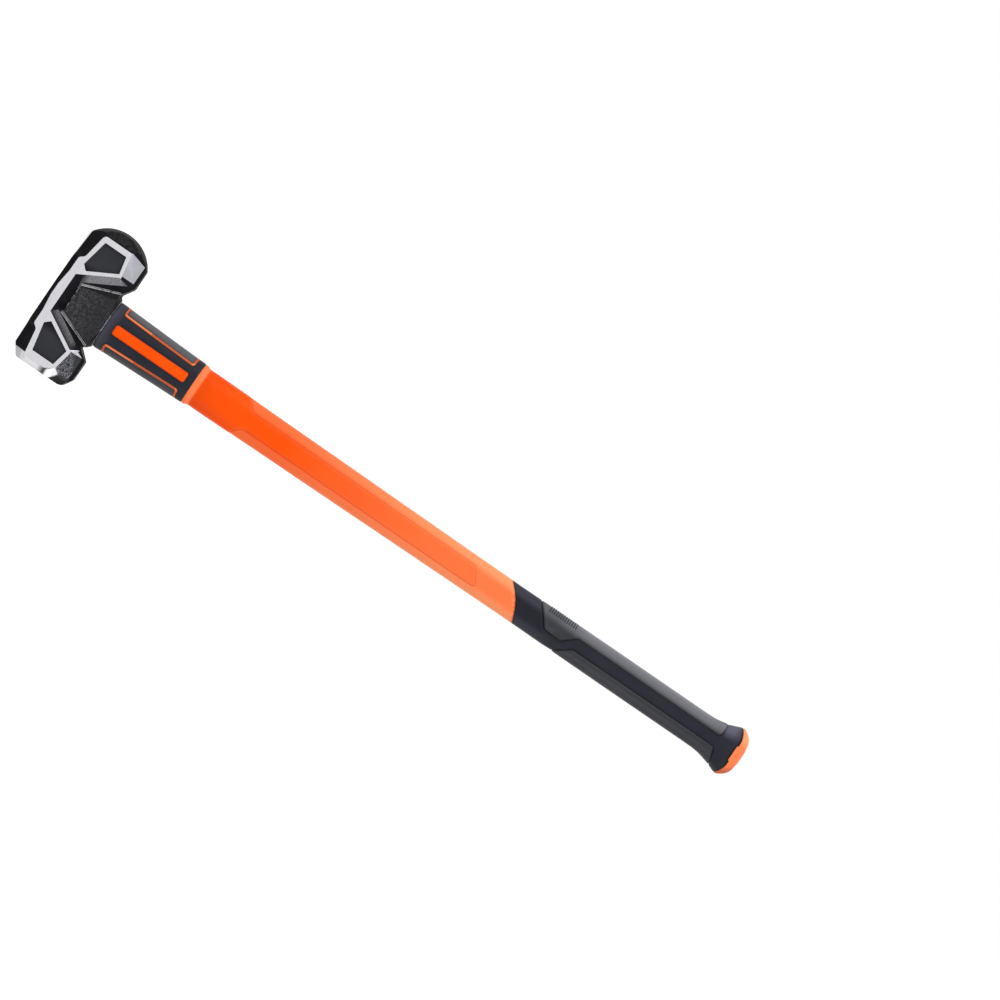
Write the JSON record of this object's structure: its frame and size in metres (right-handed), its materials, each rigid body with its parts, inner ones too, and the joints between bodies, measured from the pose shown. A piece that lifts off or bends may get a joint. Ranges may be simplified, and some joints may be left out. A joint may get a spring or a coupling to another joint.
{
  "type": "sledgehammer",
  "caption": "Long-handled sledgehammer: forged steel head with a flat and a crowned striking face, potted on an over-moulded fibreglass handle with a guard collar, soft grip and flared butt.",
  "frame": {"origin": "on the handle's axis, at the flat top face of the head", "axes": "+Z along the handle from the head to the butt, +X to the flat striking face, -X to the crowned face, -Y and +Y to the two like cheeks"},
  "size_m": [0.1762, 0.048, 0.898],
  "materials": {
    "forged_steel": "black forged, polished bands",
    "fibreglass": "pultruded",
    "resin": "cast",
    "orange_plastic": "satin moulded",
    "soft_black": "matte moulded",
    "soft_pad": "fine grained"
  },
  "bodies": {
    "root": {"head": "forged_steel", "core_rod": "fibreglass", "eye_resin": "resin", "resin_dam": "soft_black", "handle_jacket": "orange_plastic", "collar_sleeve": "soft_black", "collar_pad_flat_side": "soft_pad", "collar_pad_crown_side": "soft_pad", "grip_sleeve": "soft_black", "grip_pad_flat_side": "soft_pad", "grip_pad_crown_side": "soft_pad", "butt_cap": "orange_plastic"}
  },
  "joints": []
}
